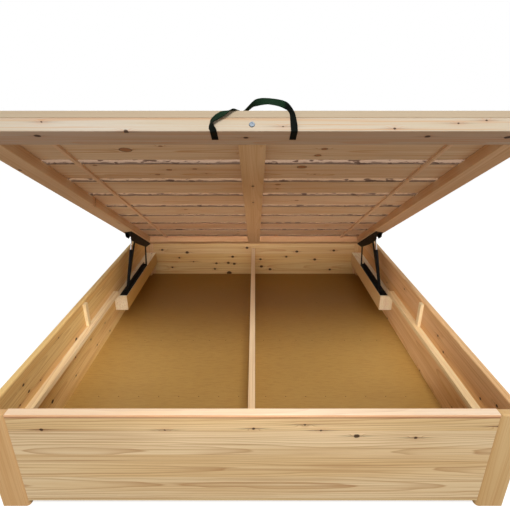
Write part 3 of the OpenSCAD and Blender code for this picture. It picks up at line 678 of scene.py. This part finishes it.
# Painted shade: the sides of each timber, the left deeper and more orange than the right.
TIMBER_PAINTED_SHADE = {"left": tone(203, 148, 10), "right": tone(222, 183, 119)}
for number, side in enumerate(SIDES):
    dress_pine(f"ledge_{side}", ALONG_FLAT, 12.0 + number, look=LEDGE_LOOK)
    dress_pine(f"guide_block_{side}", UPRIGHT, 14.0 + number, look=LEDGE_LOOK)
    dress_pine(f"mount_timber_{side}", ALONG_FLAT, 16.0 + number,
               look={**TIMBER_LOOK, "edge": TIMBER_PAINTED_SHADE[side]})
dress_pine("corner_battens", UPRIGHT, 18.0, look=INNER_LOOK)
dress_pine("centre_divider", ALONG_UPRIGHT, 19.0, look=DIVIDER_LOOK)
dress_pine("floor_bearers", ACROSS_FLAT, 20.0, look=INNER_LOOK)
dress_pine("centre_feet", UPRIGHT, 21.0, look=INNER_LOOK)
print("timbers of the box are dressed")

# %% [markdown]
# The lid is seen from below. Its frame is planed pine with a warm tone. The front rail shows a
# pale face to the camera and an underside that is painted darker and warmer as shade, each with
# knots of its own.

# %% Frame of the lid
RAIL_LOOK = {"pale": tone(222, 184, 147), "deep": tone(205, 157, 116), "contrast": 0.45}
CENTRE_LOOK = {**RAIL_LOOK, "pale": tone(216, 176, 136), "deep": tone(198, 150, 106)}
STRINGER_LOOK = {"pale": tone(232, 204, 176), "deep": tone(220, 184, 152), "knot_share": 0.0}
# The front rail's underside gets a painted shade through its below colour.
FACE_LOOK = {"pale": tone(195, 192, 184), "deep": tone(185, 176, 158), "contrast": 0.55,
             "knot_share": 0.0, "tint": 0.08, "ring": 0.003, "face": -rail_size.y / 2,
             "below": tone(255, 232, 220)}
FACE_KNOTS = ((0.092, -0.006, 0.0022), (0.422, -0.013, 0.0035), (0.612, 0.004, 0.003),
              (0.696, 0.013, 0.0025), (-0.624, 0.008, 0.0025), (-0.373, -0.0215, 0.006))
BELOW_KNOTS = ((0.534, -0.014, 0.008), (0.782, -0.008, 0.010), (-0.650, -0.018, 0.009),
               (-0.019, -0.005, 0.007))
CENTRE_KNOTS = ((-0.477, 0.0, 0.007), (-0.222, 0.0, 0.006))
dress_pine("lid_front_rail", LID_ACROSS, 30.0, look=FACE_LOOK, knots=BELOW_KNOTS,
           face_knots=FACE_KNOTS)
dress_pine("lid_rear_rail", LID_ACROSS, 31.0, look=RAIL_LOOK)
for number, side in enumerate(SIDES):
    dress_pine(f"lid_side_rail_{side}", LID_ALONG, 32.0 + number, look=RAIL_LOOK)
dress_pine("lid_centre_rail", LID_ALONG, 34.0, look=CENTRE_LOOK, knots=CENTRE_KNOTS)
dress_pine("stringers", LID_ALONG, 35.0, look=STRINGER_LOOK)
print("knots on the front rail:", len(FACE_KNOTS) + len(BELOW_KNOTS))

# %% [markdown]
# The slats are rougher and redder than the frame, with larger knots that are brown inside. Their
# edges are darker, partly as sawn wood and partly as painted shade for the rail's shadow. The
# first one's edge shows above the front rail and is clean of bark. The third one's edge is the
# widest that shows from below, and its tone, a little greyer than the rest, is painted light.

# %% Slats
SLATS = 10
KNOT_CORE = tone(160, 106, 70)
# The slats' edge tone: sawn wood, darkened further as painted shade for the rail's shadow.
SAWN_EDGE_AND_SHADE = tone(156, 122, 96)
SLAT_LOOK = {"pale": tone(229, 200, 176), "deep": tone(209, 171, 143), "knot_share": 0.2,
             "knot_size": 0.011, "rough": 0.7, "spread": 0.15, "contrast": 0.75,
             "flakes": 0.85, "core": KNOT_CORE, "edge": SAWN_EDGE_AND_SHADE}
# The third slat's edge tone is painted light, for the light that reaches it.
SLAT_LOOKS = {1: {**SLAT_LOOK, "pale": tone(208, 184, 156), "knot_share": 0.0,
                  "edge": tone(168, 156, 136), "flakes": 0.0},
              3: {**SLAT_LOOK, "edge": tone(148, 123, 108)}}
SLAT_KNOTS = {2: ((-0.453, -0.010, 0.020), (0.256, -0.018, 0.010), (0.241, 0.040, 0.011)),
              3: ((0.196, -0.054, 0.017), (-0.235, -0.032, 0.008), (-0.401, 0.033, 0.008)),
              9: ((-0.120, 0.052, 0.014),)}
for number in range(1, SLATS + 1):
    dress_pine(f"slat_{number}", LID_ACROSS, 40.0 + number, knots=SLAT_KNOTS.get(number, ()),
               look=SLAT_LOOKS.get(number, SLAT_LOOK))
print("slats dressed:", SLATS)

# %% [markdown]
# The floor of each bay is hardboard: wood fibre pressed to a smooth golden-brown sheet. It has no
# grain, only fine flecks of fibre, faint rows across it and soft clouds where the press darkened
# it. Light and shade are painted into it: a paler band across its middle is painted light, and
# painted shade deepens it toward the head end, under the lid.

# %% Hardboard
HARDBOARD_PALE = tone(177, 142, 81)
HARDBOARD_CLOUD = tone(163, 126, 65)
HARDBOARD_PAINTED_LIGHT = tone(189, 152, 82)
HARDBOARD_PAINTED_SHADE = tone(140, 97, 16)
FLECK_TONE = tone(140, 90, 40)
ROW_TONE = tone(150, 106, 54)
ROWS = (22.0, 190.0, 5.0)
CLOUD_WAVES = 2.6
FLECK_WAVES = 330.0
PAINTED_LIGHT_REACH, PAINTED_LIGHT_SHARE = (-0.95, -0.3), 0.8
PAINTED_SHADE_REACH = (0.0, 0.8)
FLECK_SHARE, ROW_SHARE = 0.3, 0.35


def hardboard(name, seed):
    """A sheet of hardboard; its foot end lies at -Y and its head end at +Y."""
    sheet = Finish(name)
    place = sheet.node("TexCoord", None, None, "Object")
    _, toward_head, _ = sheet.parts(place)
    own = sheet.shift(place, (seed, seed, 0.0))
    cloud = sheet.noise(own, CLOUD_WAVES, 3.0)
    fleck = sheet.noise(own, FLECK_WAVES, 2.0, 0.7)
    rows = sheet.noise(sheet.stretch(own, ROWS), **FINE)
    colour = sheet.mix(cloud.step(0.25, 0.75), HARDBOARD_PALE, HARDBOARD_CLOUD)
    # Painted light pales the sheet across its middle; painted shade darkens it toward the head
    # end.
    colour = sheet.mix(toward_head.step(*PAINTED_LIGHT_REACH) * PAINTED_LIGHT_SHARE, colour, HARDBOARD_PAINTED_LIGHT)
    colour = sheet.mix(toward_head.step(*PAINTED_SHADE_REACH), colour, HARDBOARD_PAINTED_SHADE)
    colour = sheet.mix(fleck.step(0.5, 0.75) * FLECK_SHARE, colour, FLECK_TONE)
    colour = sheet.mix(rows.step(0.42, 0.72) * ROW_SHARE, colour, ROW_TONE)
    sheet.set(Base_Color=colour, Roughness=0.46 + cloud * 0.12)
    sheet.bump(fleck + rows * 0.5, 0.3, 0.0004)
    return sheet


for side, seed in zip(SIDES, (0.0, 3.1)):
    dress(f"floor_panel_{side}", hardboard(f"hardboard_{side}", seed))
print("hardboard panels:", len(SIDES))

# %% [markdown]
# Small nails hold the hardboard to the bearers, in rows across both bays. Only their heads show,
# a thin disc each. The discs are joined to one object with its place in its mesh.

# %% Floor nails
NAIL_R = 0.0024
NAIL_HEAD = 0.0012
NAIL_SIDES = 10
FIRST_NAIL = 0.0675
NAIL_STEP = 0.10
NAILS_IN_ROW = 8
NAIL_ROWS = (-0.985, -0.5125, -0.015, 0.475, 0.985)
divider_middle, _ = board_box("centre_divider", ACROSS_FLAT)
panel_middle, panel_size = board_box("floor_panel_left", ACROSS_FLAT)
PANEL_TOP = panel_middle.z + panel_size.z / 2
nail_places = [(divider_middle.x + way * (FIRST_NAIL + step * NAIL_STEP), row, PANEL_TOP)
               for row in NAIL_ROWS for way in (-1, 1) for step in range(NAILS_IN_ROW)]
heads = []
for place in nail_places:
    bpy.ops.mesh.primitive_cylinder_add(vertices=NAIL_SIDES, radius=NAIL_R, depth=NAIL_HEAD,
                                        location=place)
    heads.append(bpy.context.object)
bpy.ops.object.select_all(action="DESELECT")
for head in heads:
    head.select_set(True)
bpy.context.view_layer.objects.active = heads[0]
bpy.ops.object.join()
bpy.ops.object.transform_apply(location=True, rotation=True, scale=True)
nails = bpy.context.object
nails.name = "floor_nails"
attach(nails, "box")
print("nails in the floor:", len(nail_places))

# %% [markdown]
# The lifts are black lacquered steel, their pins and screws too, and so are the plates of the
# strap. Black lacquer is never quite black: it carries a fine dust. The screws of the slats are
# zinc and the lid's bolt is blued.

# %% Steel
DUST_WAVES = 60.0
GRIT_WAVES = 900.0
DUST_FROM, DUST_SHARE, DUST_ROUGH = (0.45, 0.8), 0.6, 0.25
LACQUER_GLOSS = 0.15


def steel(name, colour, worn, roughness, metallic):
    """Steel with a coat of one colour and a dust of another."""
    metal = Finish(name)
    own = metal.node("TexCoord", None, None, "Object")
    dust = metal.noise(own, DUST_WAVES, 4.0, 0.6)
    metal.set(Base_Color=metal.mix(dust.step(*DUST_FROM) * DUST_SHARE, colour, worn),
              Roughness=roughness + (dust - 0.5) * DUST_ROUGH, Metallic=metallic)
    metal.bump(metal.noise(own, GRIT_WAVES), 0.25, 0.0002)
    return metal


black = steel("black_lacquer", tone(7, 7, 8), tone(18, 18, 19), 0.55, 0.0)
black.set(Specular_IOR_Level=LACQUER_GLOSS)
zinc = steel("bright_zinc", tone(176, 182, 188), tone(140, 146, 152), 0.35, 1.0)
blued = steel("blued_steel", tone(126, 139, 154), tone(104, 116, 130), 0.55, 0.1)
iron = steel("nail_iron", tone(96, 70, 48), tone(60, 42, 30), 0.5, 0.6)
LACQUERED = ["lower_pins", "upper_pins", "lower_screws", "upper_screws", "strap_plates"]
LACQUERED += [f"{kind}_{side}" for side in SIDES
              for kind in ("lower_bracket", "upper_bracket", "rear_link", "front_link",
                           "strut_cylinder", "strut_gland")]
for piece in LACQUERED:
    dress(piece, black)
dress("slat_screws", zinc)
dress("lid_bolt", blued)
nails.data.materials.append(iron.material)
print("pieces with black lacquer:", len(LACQUERED))

# %% [markdown]
# A gas strut's rod is chrome, but the eye screwed on its end is black. Both are one piece here, so
# the eye is found by its distance from the upper pivot, seen from the side.

# %% Rods of the struts
EYE_AT = (0.46506, 0.58295)
EYE_REACH = 0.027
EYE_SOFT = 0.0005
EYE_ROUGH, ROD_ROUGH = 0.5, 0.14
chrome = Finish("chrome_rod_black_eye")
_, rod_y, rod_z = chrome.parts(chrome.node("TexCoord", None, None, "Object"))
off_eye = ((rod_y - EYE_AT[0]) ** 2.0 + (rod_z - EYE_AT[1]) ** 2.0) ** 0.5
bare = off_eye.step(EYE_REACH - EYE_SOFT, EYE_REACH + EYE_SOFT)
chrome.set(Base_Color=chrome.mix(bare, tone(13, 13, 14), tone(218, 220, 222)), Metallic=bare,
           Roughness=EYE_ROUGH - bare * (EYE_ROUGH - ROD_ROUGH))
for side in SIDES:
    dress(f"strut_rod_{side}", chrome)
print("black round each upper pivot:", round(EYE_REACH * 1000), "mm")

# %% [markdown]
# The pull strap is flat webbing, 20 mm wide. A flat strap can't be simulated well, so it is
# modelled directly: a long grid whose rows are set along the strap's route, each row lying across
# the webbing, then thickened. The route is written in the lid's own frame: across, out from the
# front face, and up from the lid's bottom, in millimetres, with the direction of the webbing's
# width. Both ends run under the rail. The loop stands a little lower than in the construction,
# because that is how it hangs on the real bed.

# %% Route of the strap
MM = 0.001
STRAP_IN = 54
STRAP_ROUTE = (
    ((-114, -STRAP_IN, -1.2), (1, 0, 0)),
    ((-114, -30, -1.2), (1, 0, 0)),
    ((-114, -8, -1.3), (1, 0, 0)),
    ((-114, 1.5, -1.2), (1, 0, 0)),
    ((-115, 3, 3), (1, 0.2, 0)),
    ((-119, 5, 10), (0.9, 0.5, 0)),
    ((-121, 6, 20), (0.6, 0.8, 0.1)),
    ((-116, 7, 31), (0.5, 0.6, -0.6)),
    ((-104, 8, 41), (0.5, 0.3, -0.8)),
    ((-89, 9, 50), (0.5, 0.3, -1)),
    ((-74, 8, 58), (0.3, 0.8, -0.8)),
    ((-60, 4, 66), (0.2, 1, -0.2)),
    ((-45, -12, 67), (0, 1, 0.1)),
    ((-32, -17, 66.5), (0, 1, 0)),
    ((-21, -13, 69), (0, 1, 0)),
    ((-9, -6, 77), (0, 1, 0.1)),
    ((4, -1, 86), (0, 1, 0.35)),
    ((20, 1, 92), (0, 0.6, 1)),
    ((43, 3, 93.5), (0, 0, 1)),
    ((63, 4, 91), (0, 0, 1)),
    ((80, 6, 86.5), (0, 0.1, 1)),
    ((94, 8, 80.5), (0.2, 0.3, 1)),
    ((106, 9, 72), (0.4, 0.9, 0.4)),
    ((114, 9, 62), (0.4, 1, 0.2)),
    ((119, 8, 50), (0.6, 0.8, 0)),
    ((122, 6.5, 34), (0.8, 0.6, 0)),
    ((124, 5, 18), (0.95, 0.3, 0)),
    ((125, 3.5, 6), (1, 0.1, 0)),
    ((125, 1.8, -1.2), (1, 0, 0)),
    ((125, -8, -1.3), (1, 0, 0)),
    ((125, -30, -1.2), (1, 0, 0)),
    ((125, -STRAP_IN, -1.2), (1, 0, 0)),
)
FRONT_FACE = rail_middle.y - rail_size.y / 2
LID_BOTTOM = rail_middle.z - rail_size.z / 2
to_world = Euler(LID_ACROSS).to_matrix().inverted()


def in_lid(across, out, up):
    """A place in the lid's frame, in millimetres, as a place in the bed's frame."""
    return to_world @ Vector((across * MM, FRONT_FACE - out * MM, LID_BOTTOM + up * MM))


def lid_way(across, out, up):
    """A direction in the lid's frame as a direction in the bed's frame."""
    return in_lid(across, out, up) - in_lid(0, 0, 0)


stops = [(in_lid(*place), lid_way(*wide)) for place, wide in STRAP_ROUTE]
print("stops on the strap's route:", len(stops))

# %% [markdown]
# Between the stops the strap follows a smooth curve that passes through all of them. The same
# curve blends the direction of its width, so that the webbing twists evenly.

# %% Rows of the strap
FINE_ROWS = 10


def curve_between(a, b, c, d, share):
    """A smooth curve through four points, at share of the way from the second to the third."""
    return 0.5 * ((2 * b) + (c - a) * share + (2 * a - 5 * b + 4 * c - d) * share ** 2
                  + (3 * b - a - 3 * c + d) * share ** 3)


strap_rows = []
last = len(stops) - 1
for index in range(last):
    around = [stops[min(max(index + k, 0), last)] for k in (-1, 0, 1, 2)]
    for row in range(FINE_ROWS):
        place, wide = (curve_between(*four, row / FINE_ROWS) for four in zip(*around))
        strap_rows.append((place, wide.normalized()))
strap_rows.append((stops[last][0], stops[last][1].normalized()))
strap_length = sum((b[0] - a[0]).length for a, b in zip(strap_rows, strap_rows[1:]))
print("strap length:", round(strap_length, 3), "m in", len(strap_rows), "rows")

# %% [markdown]
# The webbing starts as a flat grid with one line of points for each row of the route. Every point
# is moved to its place across the webbing, square to the way the strap runs, and the modifiers
# Solidify and Bevel then give the sheet its thickness and its soft edges.

# %% Webbing strap
STRAP_W = 20 * MM
STRAP_T = 1.6 * MM
STRAP_EDGE = 0.45 * MM
ACROSS_CELLS = 8
last_row = len(strap_rows) - 1
bpy.ops.object.select_all(action="DESELECT")
bpy.ops.mesh.primitive_grid_add(x_subdivisions=ACROSS_CELLS, y_subdivisions=last_row)
strap = bpy.context.object
strap.name = "webbing_strap"
grid_left = min(v.co.x for v in strap.data.vertices)
grid_width = max(v.co.x for v in strap.data.vertices) - grid_left
grid_foot = min(v.co.y for v in strap.data.vertices)
grid_run = max(v.co.y for v in strap.data.vertices) - grid_foot
for vertex in strap.data.vertices:
    share_across = (vertex.co.x - grid_left) / grid_width - 0.5
    row = round((vertex.co.y - grid_foot) / grid_run * last_row)
    place, wide = strap_rows[row]
    before = strap_rows[max(row - 1, 0)][0]
    after = strap_rows[min(row + 1, last_row)][0]
    ahead = (after - before).normalized()
    wide = (wide - wide.dot(ahead) * ahead).normalized()
    vertex.co = place + wide * share_across * STRAP_W
thicken = strap.modifiers.new("thickness", "SOLIDIFY")
thicken.thickness = STRAP_T
thicken.offset = 0
round_edge = strap.modifiers.new("soft edge", "BEVEL")
round_edge.width = STRAP_EDGE
round_edge.segments = 2
for modifier in ("thickness", "soft edge"):
    bpy.ops.object.modifier_apply(modifier=modifier)
bpy.ops.object.shade_smooth()
print("strap:", len(strap.data.polygons), "faces")

# %% [markdown]
# Webbing is woven of thick threads along the strap and thin ones across it. The grid came with a
# UV map, so the weave is two sines over it, one for each way, which follow every twist. Light and
# shade are painted into the green: it all but goes black at the strap's foot and along its right
# leg as painted shade, and lint shows only where light is painted.

# %% Webbing
THREADS_ACROSS = 13
THREAD_STEP = 1.9 * MM
LIT_HEIGHT = (1.36, 1.405)
LIT_ACROSS = (0.104, 0.092)
LINT_WAVES, LINT_SHARE = 700.0, 0.15
WEBBING_GLOSS = 0.1
threads_along = strap_length / THREAD_STEP
webbing = Finish("green_webbing")
across_uv, along_uv, _ = webbing.parts(webbing.node("TexCoord", None, None, "UV"))
rib = (across_uv * (THREADS_ACROSS * math.pi)).maths("SINE")
pick = (along_uv * (threads_along * math.pi)).maths("SINE")
weave = abs(rib) * (0.6 + 0.4 * (rib * pick).step(-0.4, 0.4))
own = webbing.node("TexCoord", None, None, "Object")
lint = webbing.noise(own, LINT_WAVES, 3.0)
strap_x, _, strap_z = webbing.parts(own)
# Painted light and shade: lit high up and left of the right leg, near black below and on that leg.
painted_light = strap_z.step(*LIT_HEIGHT) * strap_x.step(*LIT_ACROSS)
thread_tone = webbing.mix(painted_light, tone(8, 16, 11), tone(24, 56, 32))
green = webbing.mix(weave, tone(3, 8, 5), thread_tone)
green = webbing.mix(lint.step(0.55, 0.8) * painted_light * LINT_SHARE, green, tone(60, 90, 66))
webbing.set(Base_Color=green, Roughness=0.72 + (lint - 0.5) * 0.2,
            Specular_IOR_Level=WEBBING_GLOSS)
webbing.bump(weave, 0.8, 0.0008)
strap.data.materials.append(webbing.material)
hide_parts("pull_strap")
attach(strap, "lid")
print("threads along the strap:", round(threads_along))

# %% [markdown]
# A studio for the bed stands on a wide pale floor. To the camera alone the floor glows a little,
# which makes it white and still keeps the bed's soft shadow, and adds no light to the bed.

# %% Floor
FLOOR_SIZE = 30
FLOOR_GLOW = 0.78
WHITE = (1, 1, 1, 1)
bpy.ops.object.select_all(action="DESELECT")
bpy.ops.mesh.primitive_plane_add(size=FLOOR_SIZE, location=(0, 0, 0))
floor = bpy.context.object
floor.name = "studio_floor"
ground = Finish("pale_floor")
grain = ground.noise(ground.node("TexCoord", None, None, "Object"), 3.0)
ground.set(Base_Color=ground.mix(grain, tone(176, 174, 170), tone(180, 178, 174)), Roughness=0.9)
matt = Wire(ground, ground.shader.outputs[0])
glow = ground.node("Emission", None, {"Color": WHITE, "Strength": FLOOR_GLOW})
lifted = ground.node("AddShader", None, {0: matt, 1: glow})
to_camera = ground.node("LightPath", None, None, "Is Camera Ray")
both = ground.node("MixShader", None, {0: to_camera, 1: matt, 2: lifted})
ground.plug(ground.tree.nodes["Material Output"].inputs["Surface"], both)
floor.data.materials.append(ground.material)
print("floor:", FLOOR_SIZE, "m wide")

# %% [markdown]
# An even pale sky lights the bed from all round. The background is white to the camera alone, and
# to mirrors and glass, so it doesn't add light.

# %% Sky
SKY_LIGHT = 0.42
SKY_TONE = (1.0, 0.985, 0.965, 1.0)
world = bpy.data.worlds.new("studio_sky")
bpy.context.scene.world = world
world.use_nodes = True
tree = world.node_tree
sky = tree.nodes["Background"]
white = tree.nodes.new("ShaderNodeBackground")
for background, colour, strength in ((sky, SKY_TONE, SKY_LIGHT), (white, WHITE, 1.0)):
    background.inputs["Color"].default_value = colour
    background.inputs["Strength"].default_value = strength
path = tree.nodes.new("ShaderNodeLightPath")
shows_white = path.outputs["Is Camera Ray"]
for ray in ("Is Glossy Ray", "Is Transmission Ray"):
    either = tree.nodes.new("ShaderNodeMath")
    either.operation = "MAXIMUM"
    tree.links.new(shows_white, either.inputs[0])
    tree.links.new(path.outputs[ray], either.inputs[1])
    shows_white = either.outputs[0]
choose = tree.nodes.new("ShaderNodeMixShader")
for index, source in enumerate((shows_white, sky.outputs[0], white.outputs[0])):
    tree.links.new(source, choose.inputs[index])
tree.links.new(choose.outputs[0], tree.nodes["World Output"].inputs["Surface"])
print("light from the sky:", SKY_LIGHT)

# %% [markdown]
# A large soft lamp above the camera gives the cap its sheen and the strap its shadow. A weak fill
# stands far back, and three lamps with grids send narrow beams between box and lid, past the
# boards in front: a wide one to the slats and the head end, and two that cross down into the bays.

# %% Lamps
LAMP_TONE = (1.0, 0.975, 0.93)
NO_GRID = 180.0
LAMPS = (
    ("key_lamp", (0.4, -3.1, 4.2), (0.0, -0.5, 0.4), (1.1, 1.1), 130, NO_GRID),
    ("fill_lamp", (-0.4, -5.4, 0.95), (0.0, 0.9, 0.5), (1.8, 1.8), 19, NO_GRID),
    ("slat_lamp", (0.0, -2.2, 0.85), (0.0, 1.0, 0.53), (1.7, 0.2), 1.8, 26.0),
    ("left_bay_lamp", (0.9, -2.2, 1.3), (-0.9, -0.1, 0.18), (0.3, 0.3), 0.4, 19.0),
    ("right_bay_lamp", (-0.9, -2.2, 1.3), (0.9, -0.1, 0.18), (0.3, 0.3), 0.4, 19.0),
)


def soft_lamp(name, place, target, size, power, spread):
    """A lamp, size wide and high, that looks from its place to a target; a grid in front of it
    narrows the cone of its light to spread, in degrees."""
    bpy.ops.object.light_add(type="AREA", location=place)
    lamp = bpy.context.object
    lamp.name = name
    lamp.data.shape = "RECTANGLE"
    lamp.data.size, lamp.data.size_y = size
    lamp.data.energy = power
    lamp.data.spread = math.radians(spread)
    lamp.data.color = LAMP_TONE
    lamp.visible_camera = False
    aim = Vector(target) - Vector(place)
    lamp.rotation_euler = aim.to_track_quat("-Z", "Y").to_euler()


for lamp_facts in LAMPS:
    soft_lamp(*lamp_facts)
bpy.context.scene.view_settings.view_transform = "Standard"
print("lamps:", len(LAMPS))
